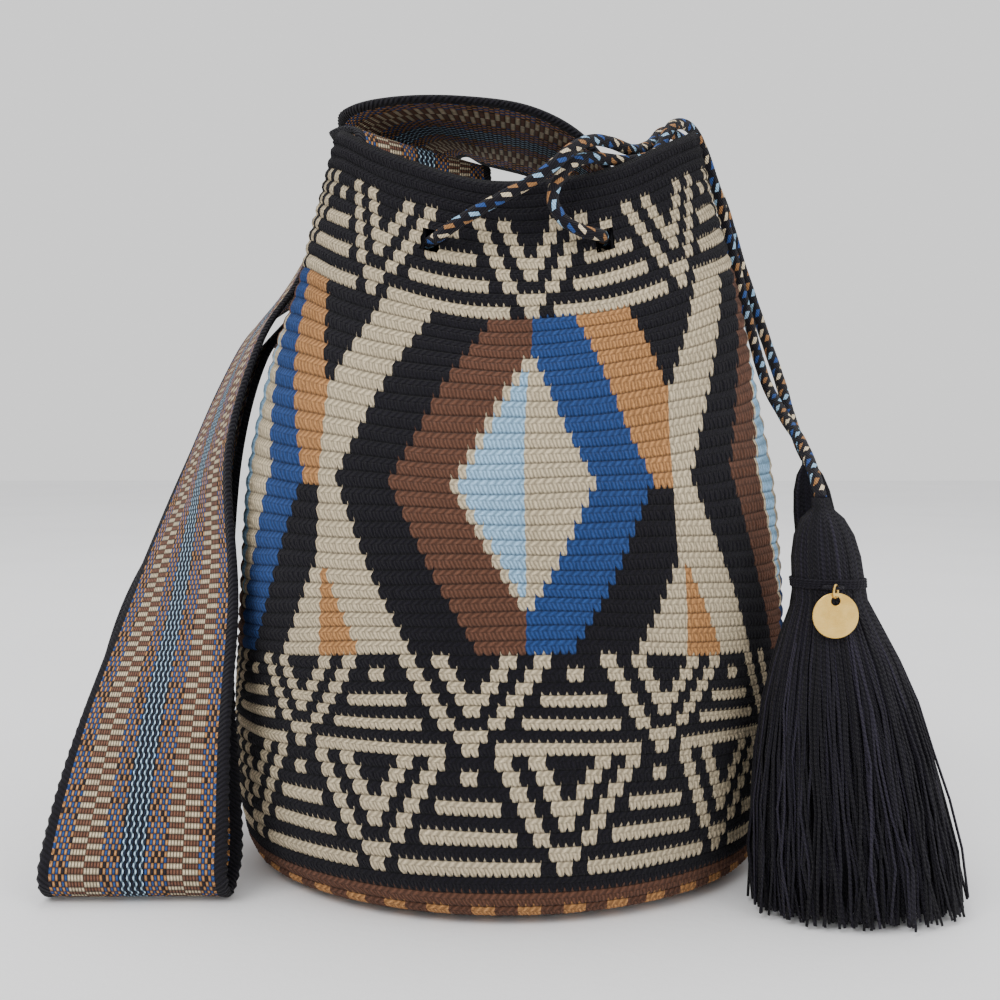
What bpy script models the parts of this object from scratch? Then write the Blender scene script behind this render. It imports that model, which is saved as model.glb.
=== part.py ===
"""Wayuu mochila: a crocheted bucket bag with a woven shoulder strap, a drawcord
with two yarn tassels, and a small metal disc that swings on a ring.

Metres, +Z up. The origin is at the centre of the base's underside, the strap's
fold lies on the left (-X) and the tassels on the right (+X), with -Y to the front.
"""
import math

import bmesh
import bpy
from mathutils import Matrix, Vector

MM = 0.001
GAP = 0.3 * MM
CURVE_STEPS = 24                # points tried between two route points
SHARP_ANGLE = math.radians(40)

# bag body
WALL = 4.0 * MM                 # thickness of the crocheted wall
BAG_SIDES = 44                  # facets round the body
EYELET_RADIUS = 5.2 * MM
EYELET_SIDES = 12
EYELET_CUT_LENGTH = 30.0 * MM
FLOOR_RADIUS = 98.0             # of the inside floor, in mm
# height, half width, half depth and sideways lean of the wall at its sides, in mm
BODY_SECTIONS = (
    (0.0, 96.0, 96.0, 0.0),
    (2.5, 104.0, 104.0, 0.0),
    (8.0, 108.5, 108.5, -0.5),
    (18.0, 111.0, 111.5, -1.0),
    (36.0, 113.6, 114.0, -0.9),
    (62.0, 115.4, 115.5, 0.4),
    (95.0, 116.0, 116.0, 2.0),
    (128.0, 114.6, 113.5, 2.0),
    (163.0, 111.5, 108.0, 1.6),
    (191.0, 105.8, 100.0, 1.8),
    (215.0, 100.5, 90.5, 3.0),
    (240.0, 93.5, 79.0, 5.2),
    (262.0, 87.5, 69.0, 5.2),
    (284.0, 81.6, 60.5, 5.3),
    (303.0, 77.0, 55.0, 5.5),
)
# how far the front and back of each section lie above or below its sides, in mm
BODY_DIP = (0.0, 0.0, 0.0, 2.0, 4.0, 7.0, 11.0, 4.0, -6.0, -15.0, -20.0, -26.0, -29.0, -30.0, -29.0)

# shoulder strap
STRAP_WIDTH = 72.0 * MM
STRAP_THICKNESS = 3.0 * MM
STRAP_STEPS = 5                 # cross sections between two stations
# centre of the band and the direction of its width at stations from the left seam,
# over the back of the rim, down to the fold on the floor, back up over the first run
# and across the mouth to the right seam
STRAP_ROUTE = (
    ((-32, 4, 266), (-0.80, -0.60, -0.10)),
    ((-34, 6, 286), (-0.78, -0.62, -0.10)),
    ((-36, 18, 300), (-0.75, -0.62, 0.10)),
    ((-51, 44, 301), (-0.70, -0.65, 0.22)),
    ((-62, 68, 286), (-0.35, -0.78, 0.50)),
    ((-76, 79, 262), (0.05, -0.84, 0.55)),
    ((-93, 74, 241), (0.35, -0.82, 0.45)),
    ((-107, 59, 223), (0.45, -0.85, 0.28)),
    ((-119, 38, 199), (0.42, -0.86, 0.28)),
    ((-128, 17, 160), (0.46, -0.87, 0.14)),
    ((-138, -15, 109), (0.76, -0.62, 0.11)),
    ((-139, -43, 62), (0.92, -0.38, 0.06)),
    ((-138, -62, 20), (1.00, -0.08, 0.0)),
    ((-139, -66, 8), (1.0, 0.0, 0.0)),
    ((-140, -75, 1.7), (1.0, 0.0, 0.0)),
    ((-140, -84, 8), (1.0, 0.0, 0.0)),
    ((-140, -82, 20), (1.00, -0.08, 0.0)),
    ((-137, -65, 62), (0.92, -0.38, 0.06)),
    ((-131, -41, 109), (0.76, -0.62, 0.11)),
    ((-127, -8, 164), (0.46, -0.87, 0.14)),
    ((-118, 23, 206), (0.42, -0.86, 0.28)),
    ((-107, 49, 233), (0.45, -0.85, 0.28)),
    ((-95, 68, 254), (0.35, -0.82, 0.45)),
    ((-79, 78, 276), (0.05, -0.84, 0.55)),
    ((-63, 72, 296), (-0.35, -0.78, 0.48)),
    ((-48, 50, 311), (-0.62, -0.72, 0.22)),
    ((-33, 32, 313), (-0.42, -0.88, 0.16)),
    ((-13, 22, 309), (-0.12, -0.96, 0.20)),
    ((10, 14, 303), (0.0, -0.97, 0.20)),
    ((31, 9, 293), (0.0, -0.99, 0.14)),
    ((45, 5, 277), (0.0, -1.0, 0.05)),
    ((52, 3, 256), (0.0, -1.0, 0.0)),
)

# drawcord
CORD_DIAMETER = 5.0 * MM
CORD_SPACING = 15.0             # distance between the points of the tube, in mm
CORD_ROUTE = (
    (119, -76, 152), (119, -64, 161), (119, -40, 173), (117, -15, 184),
    (114, 12, 200), (110, 30, 226), (104, 40, 258), (95, 36, 288),
    (84, 24, 309), (72, 2, 308), (62, -20, 292), (50, -35, 286),
    (40, -44, 285), (32, -52, 284), (24, -60, 279), (18, -65, 268),
    (21, -67, 259), (29, -66, 254), (36, -62, 253), (38, -54, 253),
    (40, -44, 252), (52, -30, 250), (70, -14, 248), (75, 8, 247), (64, 33, 246), (38, 50, 244),
    (5, 57, 242), (-30, 51, 244), (-54, 33, 246), (-64, 8, 247),
    (-56, -22, 248), (-36, -42, 250), (-28, -54, 252), (-23, -64, 254),
    (-13, -67, 260), (0, -68, 267), (11, -68, 273), (19, -68, 279), (26, -62, 286),
    (34, -51, 291), (42, -41, 292), (52, -26, 292), (61, -6, 298), (70, 16, 308),
    (84, 36, 305), (99, 46, 284), (109, 48, 254), (118, 38, 222),
    (122, 20, 200), (123, 2, 184), (124, -12, 173), (125, -21, 167),
)
EYELET_PLACES = ((36.6, -54, 253), (-28, -54, 252))

# tassels: distance down from the top and radius, in mm
TASSEL_PROFILE = (
    (0, 3.6), (3, 7.2), (9, 10.8), (18, 13.0), (24, 13.6), (31, 13.6), (36, 14.6),
    (46, 19.0), (60, 24.5), (80, 30.0), (105, 34.5), (130, 37.5), (148, 38.5),
)
TASSEL_SIDES = 24
TASSEL_FLATTENING = 0.74        # depth of a tassel over its width
FRONT_TASSEL_TOP = (119, -76, 149)
FRONT_TASSEL_FOOT = (132, -86, 0.4)
REAR_TASSEL_TOP = (126, -22, 164)
REAR_TASSEL_FOOT = (149, -16, 0.4)
REAR_TASSEL_SCALE = 0.66
BINDING_CLEARANCE = 0.4 * MM
BINDING_THICKNESS = 1.6 * MM
BINDING_HEIGHT = 5.0 * MM
BINDING_EDGE = 0.4 * MM         # how much the wound edge rounds off
NECK_LEVELS = (4, 5)            # the two profile levels that the binding sits between

# charm
DISC_RADIUS = 8.4 * MM
DISC_THICKNESS = 1.0 * MM
DISC_HOLE_RADIUS = 1.7 * MM
DISC_HOLE_TO_EDGE = 3.0 * MM    # centre of the hole to the disc's rim
RING_RADIUS = 2.45 * MM         # to the middle of the wire
RING_WIRE_RADIUS = 0.45 * MM
RING_TURN = math.radians(30)    # the ring's plane turned from the disc's square
DISC_EDGE = 0.2 * MM
TORUS_SEGMENTS = 20
TORUS_SIDES = 8
CHARM_LOOP_RADIUS = 3.4 * MM
CHARM_LOOP_WIRE = 0.55 * MM
CHARM_LOOP_PLACE = (120.0, -92.3, 121.0)

YARN_BLACK = (0.012, 0.011, 0.017, 1.0)
YARN_CREAM = (0.61, 0.51, 0.35, 1.0)
STRAP_COLOUR = (0.09, 0.08, 0.09, 1.0)
CORD_COLOUR = (0.10, 0.15, 0.22, 1.0)
GOLD = (0.83, 0.61, 0.25, 1.0)


def clear_scene():
    for obj in list(bpy.data.objects):
        bpy.data.objects.remove(obj, do_unlink=True)


def collection(name):
    group = bpy.data.collections.new(name)
    bpy.context.scene.collection.children.link(group)
    return group


def move_to(group, obj):
    for owner in list(obj.users_collection):
        owner.objects.unlink(obj)
    group.objects.link(obj)


def as_cutter(group, name):
    """Name the object just made and keep it out of the finished bag."""
    cutter = bpy.context.object
    cutter.name = name
    cutter.hide_render = True
    cutter.display_type = "WIRE"
    move_to(group, cutter)
    return cutter


def add_boolean(obj, cutter, operation):
    change = obj.modifiers.new(cutter.name, "BOOLEAN")
    change.object = cutter
    change.operation = operation


def material(name, colour, roughness, metallic=0.0):
    mat = bpy.data.materials.new(name)
    mat.use_nodes = True
    shader = mat.node_tree.nodes["Principled BSDF"]
    shader.inputs["Base Color"].default_value = colour
    shader.inputs["Roughness"].default_value = roughness
    shader.inputs["Metallic"].default_value = metallic
    return mat


def mesh_object(name, bm, group, mat):
    bmesh.ops.recalc_face_normals(bm, faces=bm.faces)
    mesh = bpy.data.meshes.new(name)
    bm.to_mesh(mesh)
    bm.free()
    mesh.shade_smooth()
    mesh.set_sharp_from_angle(angle=SHARP_ANGLE)
    mesh.materials.append(mat)
    obj = bpy.data.objects.new(name, mesh)
    group.objects.link(obj)
    return obj


def bridge_rings(bm, rings, closed=False):
    """Quads between neighbouring rings that have the same number of points."""
    pairs = list(zip(rings, rings[1:]))
    if closed:
        pairs.append((rings[-1], rings[0]))
    for low, high in pairs:
        count = len(low)
        for i in range(count):
            j = (i + 1) % count
            bm.faces.new((low[i], low[j], high[j], high[i]))


def smooth_points(points, step):
    """Points a step apart on a Catmull-Rom curve through the given points."""
    route = [Vector(p) for p in points]
    ends = [2 * route[0] - route[1]] + route + [2 * route[-1] - route[-2]]
    dense = []
    for a, b, c, d in zip(ends, ends[1:], ends[2:], ends[3:]):
        for k in range(CURVE_STEPS):
            t = k / CURVE_STEPS
            dense.append(0.5 * (2 * b + (c - a) * t + (2 * a - 5 * b + 4 * c - d) * t * t
                                + (3 * b - a - 3 * c + d) * t ** 3))
    dense.append(route[-1])
    total = sum((q - p).length for p, q in zip(dense, dense[1:]))
    count = round(total / step)
    even, walked, target = [dense[0]], 0.0, total / count
    for p, q in zip(dense, dense[1:]):
        length = (q - p).length
        while len(even) < count and walked + length >= target * len(even):
            even.append(p.lerp(q, (target * len(even) - walked) / length))
        walked += length
    return even + [route[-1]]


def body_point(section, dip, angle, inset=0.0):
    """A point on the wall, with the angle measured from the front towards +X."""
    height, width, depth, lean = section
    side, front = math.sin(angle), -math.cos(angle)
    height = height + dip * front * front
    return Vector((lean + (width - inset) * side, (depth - inset) * front, height)) * MM


def build_bag(group, cutters, mat):
    bm = bmesh.new()
    rings = []
    angles = [2 * math.pi * i / BAG_SIDES for i in range(BAG_SIDES)]
    levels = list(zip(BODY_SECTIONS, BODY_DIP))
    for section, dip in levels:
        rings.append([bm.verts.new(body_point(section, dip, a)) for a in angles])
    for section, dip in reversed(levels[2:]):
        rings.append([bm.verts.new(body_point(section, dip, a, WALL / MM)) for a in angles])
    floor = (WALL / MM, FLOOR_RADIUS, FLOOR_RADIUS, 0.0)
    rings.append([bm.verts.new(body_point(floor, 0.0, a)) for a in angles])
    bridge_rings(bm, rings)
    bm.faces.new(list(reversed(rings[0])))
    bm.faces.new(rings[-1])
    bag = mesh_object("bag_body", bm, group, mat)
    for i, place in enumerate(EYELET_PLACES):
        bpy.ops.mesh.primitive_cylinder_add(vertices=EYELET_SIDES, radius=EYELET_RADIUS,
                                            depth=EYELET_CUT_LENGTH, location=Vector(place) * MM,
                                            rotation=(math.radians(90), 0, 0))
        add_boolean(bag, as_cutter(cutters, f"eyelet_cutter_{i}"), "DIFFERENCE")
    return bag


def strap_sections():
    """Centre, width direction and thickness direction along the strap."""
    centres = [Vector(c) for c, _ in STRAP_ROUTE]
    widths = [Vector(w).normalized() for _, w in STRAP_ROUTE]

    def spline(values):
        ends = [2 * values[0] - values[1]] + values + [2 * values[-1] - values[-2]]
        out = []
        for a, b, c, d in zip(ends, ends[1:], ends[2:], ends[3:]):
            for k in range(STRAP_STEPS):
                t = k / STRAP_STEPS
                out.append(0.5 * (2 * b + (c - a) * t + (2 * a - 5 * b + 4 * c - d) * t * t
                                  + (3 * b - a - 3 * c + d) * t ** 3))
        out.append(values[-1])
        return out

    middle, across = spline(centres), spline(widths)
    last = len(middle) - 1
    for i, (centre, width) in enumerate(zip(middle, across)):
        along = (middle[min(i + 1, last)] - middle[max(i - 1, 0)]).normalized()
        width = width.normalized()
        normal = along.cross(width).normalized()
        yield centre * MM, width, normal


def build_strap(group, mat):
    bm = bmesh.new()
    rings = []
    half = STRAP_WIDTH / 2
    thick = STRAP_THICKNESS / 2
    for centre, width, normal in strap_sections():
        corners = [(-half, -thick), (0, -thick), (half, -thick), (half, thick), (0, thick), (-half, thick)]
        rings.append([bm.verts.new(centre + width * u + normal * v) for u, v in corners])
    bridge_rings(bm, rings)
    bm.faces.new(list(reversed(rings[0])))
    bm.faces.new(rings[-1])
    return mesh_object("shoulder_strap", bm, group, mat)


def build_cord(group, mat):
    points = smooth_points(CORD_ROUTE, CORD_SPACING)
    curve = bpy.data.curves.new("drawcord_route", "CURVE")
    curve.dimensions = "3D"
    curve.bevel_depth = CORD_DIAMETER / 2
    curve.bevel_resolution = 2
    curve.use_fill_caps = True
    spline = curve.splines.new("POLY")
    spline.points.add(len(points) - 1)
    for target, point in zip(spline.points, points):
        target.co = (*(point * MM), 1.0)
    curve.materials.append(mat)
    cord = bpy.data.objects.new("drawcord", curve)
    group.objects.link(cord)
    return cord


def tassel_level(top, foot, drop, length):
    return top.lerp(foot, drop / length)


def build_tassel(name, top, foot, scale, group, mat):
    """A bundle of yarn: a turned profile that leans, flattened front to back."""
    top, foot = Vector(top), Vector(foot)
    length = TASSEL_PROFILE[-1][0]
    bm = bmesh.new()
    rings = []
    for drop, radius in TASSEL_PROFILE:
        centre = tassel_level(top, foot, drop, length)
        ring = []
        for i in range(TASSEL_SIDES):
            angle = 2 * math.pi * i / TASSEL_SIDES
            offset = Vector((math.cos(angle), math.sin(angle) * TASSEL_FLATTENING, 0))
            ring.append(bm.verts.new((centre + offset * radius * scale) * MM))
        rings.append(ring)
    bridge_rings(bm, rings)
    bm.faces.new(rings[0])
    bm.faces.new(list(reversed(rings[-1])))
    return mesh_object(name, bm, group, mat)


def neck_of(top, foot, scale):
    """Centre and radius of the waist where the binding is wound."""
    (upper, radius), (lower, _) = (TASSEL_PROFILE[k] for k in NECK_LEVELS)
    centre = tassel_level(Vector(top), Vector(foot), (upper + lower) / 2, TASSEL_PROFILE[-1][0])
    return centre * MM, radius * scale * MM


def build_binding(name, top, foot, scale, group, mat):
    centre, radius = neck_of(top, foot, scale)
    inner = radius + BINDING_CLEARANCE
    outer = inner + BINDING_THICKNESS
    half = BINDING_HEIGHT / 2 * scale
    lean = (Vector(foot) - Vector(top)) / (foot[2] - top[2])
    bm = bmesh.new()
    rings = []
    edge = outer - BINDING_EDGE
    for r, z in ((inner, -half), (edge, -half), (outer, 0), (edge, half), (inner, half)):
        ring = []
        for i in range(TASSEL_SIDES):
            angle = 2 * math.pi * i / TASSEL_SIDES
            flat = math.sin(angle) * TASSEL_FLATTENING
            offset = Vector((math.cos(angle) * r, flat * r, 0)) + lean * z
            ring.append(bm.verts.new(centre + offset))
        rings.append(ring)
    bridge_rings(bm, rings, closed=True)
    return mesh_object(name, bm, group, mat)


def add_torus(name, radius, wire, location, turn, group, mat):
    """A ring whose axis lies level, turned about the upright through its middle."""
    bpy.ops.mesh.primitive_torus_add(major_segments=TORUS_SEGMENTS, minor_segments=TORUS_SIDES,
                                     major_radius=radius, minor_radius=wire)
    ring = bpy.context.object
    ring.name = name
    ring.data.name = name
    upright = Matrix.Rotation(turn, 4, "Z") @ Matrix.Rotation(math.radians(90), 4, "X")
    ring.data.transform(upright)
    ring.location = location
    ring.data.shade_smooth()
    ring.data.materials.append(mat)
    move_to(group, ring)
    return ring


def build_charm(group, cutters, gold, binding):
    loop_place = Vector(CHARM_LOOP_PLACE) * MM
    # the yarn loop stands out from the binding, lying flat
    bpy.ops.mesh.primitive_torus_add(major_segments=TORUS_SEGMENTS, minor_segments=TORUS_SIDES,
                                     major_radius=CHARM_LOOP_RADIUS, minor_radius=CHARM_LOOP_WIRE,
                                     location=loop_place)
    add_boolean(binding, as_cutter(cutters, "charm_loop"), "UNION")

    # the ring hangs on the front of the loop, and its origin is where it swings
    front_of_loop = loop_place - Vector((0, CHARM_LOOP_RADIUS, 0))
    ring_centre_drop = RING_RADIUS - RING_WIRE_RADIUS - CHARM_LOOP_WIRE - GAP
    ring = add_torus("charm_ring", RING_RADIUS, RING_WIRE_RADIUS, front_of_loop,
                     math.radians(90) - RING_TURN, group, gold)
    ring.data.transform(Matrix.Translation((0, 0, -ring_centre_drop)))

    # the disc's hole hangs on the bottom of the ring
    pivot = front_of_loop - Vector((0, 0, ring_centre_drop + RING_RADIUS))
    hole_drop = DISC_HOLE_RADIUS - RING_WIRE_RADIUS - GAP
    centre_drop = hole_drop + DISC_RADIUS - DISC_HOLE_TO_EDGE
    bpy.ops.mesh.primitive_cylinder_add(vertices=48, radius=DISC_RADIUS, depth=DISC_THICKNESS)
    disc = bpy.context.object
    disc.name = "charm_disc"
    disc.data.name = "charm_disc"
    disc.data.transform(Matrix.Translation((0, 0, -centre_drop)) @ Matrix.Rotation(math.radians(90), 4, "X"))
    disc.location = pivot
    disc.data.materials.append(gold)
    move_to(group, disc)
    bpy.ops.mesh.primitive_cylinder_add(vertices=20, radius=DISC_HOLE_RADIUS, depth=4 * DISC_THICKNESS,
                                        rotation=(math.radians(90), 0, 0),
                                        location=pivot - Vector((0, 0, hole_drop)))
    add_boolean(disc, as_cutter(cutters, "charm_hole_cutter"), "DIFFERENCE")
    soften = disc.modifiers.new("charm_edge", "BEVEL")
    soften.width = DISC_EDGE
    soften.segments = 1
    soften.limit_method = "ANGLE"


def main():
    clear_scene()
    parts = collection("wayuu_mochila_bag")
    cutters = collection("cutters")
    black = material("black_yarn", YARN_BLACK, 0.9)
    crochet = material("crochet_yarn", YARN_CREAM, 0.9)
    woven = material("woven_strap", STRAP_COLOUR, 0.85)
    braid = material("braided_cord", CORD_COLOUR, 0.8)
    gold = material("gold_plate", GOLD, 0.22, 1.0)

    build_bag(parts, cutters, crochet)
    build_strap(parts, woven)
    build_cord(parts, braid)
    build_tassel("front_tassel", FRONT_TASSEL_TOP, FRONT_TASSEL_FOOT, 1.0, parts, black)
    build_tassel("rear_tassel", REAR_TASSEL_TOP, REAR_TASSEL_FOOT, REAR_TASSEL_SCALE, parts, black)
    binding = build_binding("front_tassel_binding", FRONT_TASSEL_TOP, FRONT_TASSEL_FOOT, 1.0, parts, black)
    build_binding("rear_tassel_binding", REAR_TASSEL_TOP, REAR_TASSEL_FOOT, REAR_TASSEL_SCALE, parts, black)
    build_charm(parts, cutters, gold, binding)


main()
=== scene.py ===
import math

import bpy
import numpy as np
from bpy.props import FloatProperty, FloatVectorProperty, IntProperty, PointerProperty
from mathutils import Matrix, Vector


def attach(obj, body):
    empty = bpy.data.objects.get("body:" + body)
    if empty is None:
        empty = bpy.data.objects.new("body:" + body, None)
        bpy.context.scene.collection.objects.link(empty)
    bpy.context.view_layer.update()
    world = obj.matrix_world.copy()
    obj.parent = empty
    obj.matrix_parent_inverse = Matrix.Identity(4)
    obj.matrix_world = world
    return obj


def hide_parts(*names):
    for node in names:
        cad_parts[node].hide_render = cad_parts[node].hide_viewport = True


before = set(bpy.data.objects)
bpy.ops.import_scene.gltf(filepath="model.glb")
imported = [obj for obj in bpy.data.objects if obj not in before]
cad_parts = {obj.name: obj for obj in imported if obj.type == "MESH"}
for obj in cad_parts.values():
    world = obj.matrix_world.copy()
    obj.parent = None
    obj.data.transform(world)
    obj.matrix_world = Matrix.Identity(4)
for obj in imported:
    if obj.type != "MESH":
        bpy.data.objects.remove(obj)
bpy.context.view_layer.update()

bl_info = {
    "name": "Crocheted mochila bag",
    "version": (1, 0, 0),
    "blender": (4, 5, 0),
    "location": "View3D > Sidebar > Mochila",
    "description": "Crocheted bucket bag with a woven strap, braided drawcord, yarn tassels and a gold charm",
    "category": "Add Mesh",
}

MM = 0.001

# ---------------------------------------------------------------- the crocheted body
STITCHES = 240                  # stitches in a round
ROWS = 53                       # rounds of wall, from the edge of the base to the rim
DIAMOND_PERIOD = 48             # stitches from one diamond to the next
V_PERIOD = 24                   # stitches from one V to the next
CENTRE_TURN = math.radians(2.7)  # the middle diamond stands a little to the right
LEVELS_A_ROW = 3
COLUMNS_A_STITCH = 2
WALL = 3.6                      # thickness in mm
YARN_INSET = 0.7                # the yarn's middle lies this far inside the outline

# height at the sides, half width, half depth, sideways lean and dip in front and behind, in mm
BODY_HEIGHTS = (0.0, 2.5, 8.0, 18.0, 36.0, 62.0, 95.0, 128.0, 163.0, 191.0, 215.0, 240.0, 262.0, 284.0, 303.0)
BODY_WIDTHS = (96.0, 104.0, 108.5, 111.0, 113.6, 115.4, 116.0, 114.6,
               111.5, 105.8, 100.5, 93.5, 87.5, 81.6, 77.0)
BODY_DEPTHS = (96.0, 104.0, 108.5, 111.5, 114.0, 115.5, 116.0, 113.5,
               108.0, 100.0, 90.5, 79.0, 69.0, 60.5, 55.0)
BODY_LEANS = (0.0, 0.0, -0.5, -1.0, -0.9, 0.4, 2.0, 2.0, 1.6, 1.8, 3.0, 5.2, 5.2, 5.3, 5.5)
BODY_DIPS = (0.0, 0.0, 0.0, 2.0, 4.0, 7.0, 11.0, 4.0, -6.0, -15.0, -20.0, -26.0, -29.0, -30.0, -29.0)
# the height that some rows reach at the sides
ROW_MARKS = (0, 2, 3, 11, 19, 42, 50, 53)
ROW_HEIGHTS = (2.5, 12.0, 17.0, 57.0, 89.0, 247.0, 289.0, 303.0)
FRONT_SPREAD = 0.20             # near the rim the stitches are wider in front than behind
FRONT_SPREAD_ROWS = (27.0, 45.0)

BLACK, CREAM, TAN, BROWN, BLUE, SKY = range(6)

# how far each part of a stitch stands out, in mm, from its foot up
RELIEF_BETWEEN = (-0.95, -0.40, -0.15)
RELIEF_MIDDLE = (-0.45, 0.40, 0.42)
STITCH_SLANT = (0.0, -0.10, -0.16)
RELIEF_RIM = -0.6
RELIEF_UNEVEN = 0.10

# inside the bag: rows down the wall under the rim, then rings of the floor in mm
RIM_ROUNDING = 1.1
INSIDE_STEP = 2.4
FLOOR_RADII = (98.0, 66.0, 33.0, 5.0)
FLOOR_HEIGHT = 4.2
# outside, the base is worked in rounds from the wall to its middle
BASE_RADII = (104.0, 4.0)
BASE_ROUNDS = 12
# parts of the stitch map for the floor, the base, their middles and the eyelets
FLOOR_MAP, FLOOR_MAP_STEP = 110.0, 6.0
BASE_MAP, BASE_MAP_STEP = 200.0, 2.0
MIDDLE_MAP = 150.5
EYELET_MAP = (0.5, 48.5)

# the two eyelets: the rows and the width in stitches that are left open
EYELET_ROWS = (46 + 2 / 3, 48 + 1 / 3)
EYELET_STITCHES = 3.0
EYELET_CENTRES = (38.0, -28.0)  # sideways place in mm
EYELET_LEAN, EYELET_RADIUS = 5.3, 80.5     # the wall's lean and half width there

# ---------------------------------------------------------------- strap, cord and tassels
STRAP_WIDTH = 72.0
STRAP_CELLS = 60
STRAP_ROW = 2.15                # one row of the weave along the band, in mm
STRAP_MIDDLE = (26.0, 34.0)     # cells of the wavy lines
STRAP_BORDER = 4.5              # cells of each ribbed edge
STRAP_SPECKS = ((4, 10), (20, 26), (34, 41), (51, 56))
STRAP_DASHES = ((10, 15), (15, 20), (41, 46), (46, 51))
STRAP_ROUNDING = 1.6            # how far in from its edge the band is thinned, in mm
STRAP_BEAD = 2.4                # how far in the bead beside the edge lies, in mm
# centre of the band and the direction of its width, as in the construction model
STRAP_ROUTE = (
    ((-32, 4, 266), (-0.80, -0.60, -0.10)),
    ((-34, 6, 286), (-0.78, -0.62, -0.10)),
    ((-36, 18, 300), (-0.75, -0.62, 0.10)),
    ((-51, 44, 301), (-0.70, -0.65, 0.22)),
    ((-62, 68, 286), (-0.35, -0.78, 0.50)),
    ((-76, 79, 262), (0.05, -0.84, 0.55)),
    ((-93, 74, 241), (0.35, -0.82, 0.45)),
    ((-107, 59, 223), (0.45, -0.85, 0.28)),
    ((-119, 38, 199), (0.42, -0.86, 0.28)),
    ((-128, 17, 160), (0.46, -0.87, 0.14)),
    ((-138, -15, 109), (0.76, -0.62, 0.11)),
    ((-139, -43, 62), (0.92, -0.38, 0.06)),
    ((-138, -62, 20), (1.00, -0.08, 0.0)),
    ((-139, -66, 8), (1.0, 0.0, 0.0)),
    ((-140, -75, 1.7), (1.0, 0.0, 0.0)),
    ((-140, -84, 8), (1.0, 0.0, 0.0)),
    ((-140, -82, 20), (1.00, -0.08, 0.0)),
    ((-137, -65, 62), (0.92, -0.38, 0.06)),
    ((-131, -41, 109), (0.76, -0.62, 0.11)),
    ((-127, -8, 164), (0.46, -0.87, 0.14)),
    ((-118, 23, 206), (0.42, -0.86, 0.28)),
    ((-107, 49, 233), (0.45, -0.85, 0.28)),
    ((-95, 68, 254), (0.35, -0.82, 0.45)),
    ((-79, 78, 276), (0.05, -0.84, 0.55)),
    ((-63, 72, 296), (-0.35, -0.78, 0.48)),
    ((-48, 50, 311), (-0.62, -0.72, 0.22)),
    ((-33, 32, 313), (-0.42, -0.88, 0.16)),
    ((-13, 22, 309), (-0.12, -0.96, 0.20)),
    ((10, 14, 303), (0.0, -0.97, 0.20)),
    ((31, 9, 293), (0.0, -0.99, 0.14)),
    ((45, 5, 277), (0.0, -1.0, 0.05)),
    ((52, 3, 256), (0.0, -1.0, 0.0)),
)
CORD_ROUTE = (
    (119, -76, 152), (119, -64, 161), (119, -40, 173), (117, -15, 184),
    (114, 12, 200), (110, 30, 226), (104, 40, 258), (95, 36, 288),
    (84, 24, 309), (72, 2, 308), (62, -20, 292), (50, -35, 286),
    (40, -44, 285), (32, -52, 284), (24, -60, 279), (18, -65, 268),
    (21, -67, 259), (29, -66, 254), (36, -62, 253), (38, -54, 253),
    (40, -44, 252), (52, -30, 250), (70, -14, 248), (75, 8, 247), (64, 33, 246), (38, 50, 244),
    (5, 57, 242), (-30, 51, 244), (-54, 33, 246), (-64, 8, 247),
    (-56, -22, 248), (-36, -42, 250), (-28, -54, 252), (-23, -64, 254),
    (-13, -67, 260), (0, -68, 267), (11, -68, 273), (19, -68, 279), (26, -62, 286),
    (34, -51, 291), (42, -41, 292), (52, -26, 292), (61, -6, 298), (70, 16, 308),
    (84, 36, 305), (99, 46, 284), (109, 48, 254), (118, 38, 222),
    (122, 20, 200), (123, 2, 184), (124, -12, 173), (125, -21, 167),
)
# distance down from a tassel's top and the radius there, in mm; the part above the top is
# gathered round the cord's end
TASSEL_DROPS = (-4.5, 0, 3, 9, 18, 24, 31, 36, 46, 60, 80, 105, 130, 148)
TASSEL_RADII = (3.1, 3.7, 7.2, 10.8, 13.0, 13.6, 13.6, 14.6, 19.0, 24.5, 30.0, 34.5, 37.5, 38.5)
TASSEL_LENGTH = 148.0
TASSEL_FLATTENING = 0.74
NECK_DROP = 27.5
NECK_RADIUS = 13.6
NECK_LOOP = (120.0, -92.3, 121.0)           # middle of the loop that holds the charm's ring
NECK_LOOP_RADIUS = 3.4
NECK_LOOP_WIRE = 0.58
HEAD_DROP = 36.0                            # the strands hang free below this
STRAND_DROPS = (-4, 0, 4, 10, 18, 27, 34, 44, 57, 72, 90, 108, 126, TASSEL_LENGTH)
CORE_DROPS = (-3.5, 0, 4, 10, 18, 27, 36, 50, 70, 95, 120, 143)
GOLDEN_ANGLE = math.pi * (3 - math.sqrt(5))
TASSELS = {
    "front": {"top": (119, -76, 149), "foot": (132, -86, 0.4), "scale": 1.0, "strands": 700, "seed": 11},
    "rear": {"top": (126, -22, 164), "foot": (149, -16, 0.4), "scale": 0.66, "strands": 360, "seed": 23},
}


# ---------------------------------------------------------------- the stage, in metres and watts
FLOOR_SIZE = 8.0
FLOOR_GAP = 0.0003              # how far the floor lies below the base
ROOM_LIGHT = 1.15
LIGHTS = (
    ("key_light", (-0.9, -1.3, 1.7), 1.2, 26.0),
    ("fill_light", (1.4, -1.1, 0.9), 1.4, 9.0),
    ("top_light", (0.1, 0.5, 2.0), 1.6, 12.0),
)
LIGHT_TARGET = (0.0, 0.0, 0.15)
CAMERA_PLACE = (-0.002, -0.600, 0.180)
CAMERA_TILT = math.radians(3.04)


# ---------------------------------------------------------------- settings
def colour_setting(name, text, value):
    return FloatVectorProperty(name=name, description=text, subtype="COLOR", size=3, min=0.0, max=1.0,
                               default=value)


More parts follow.
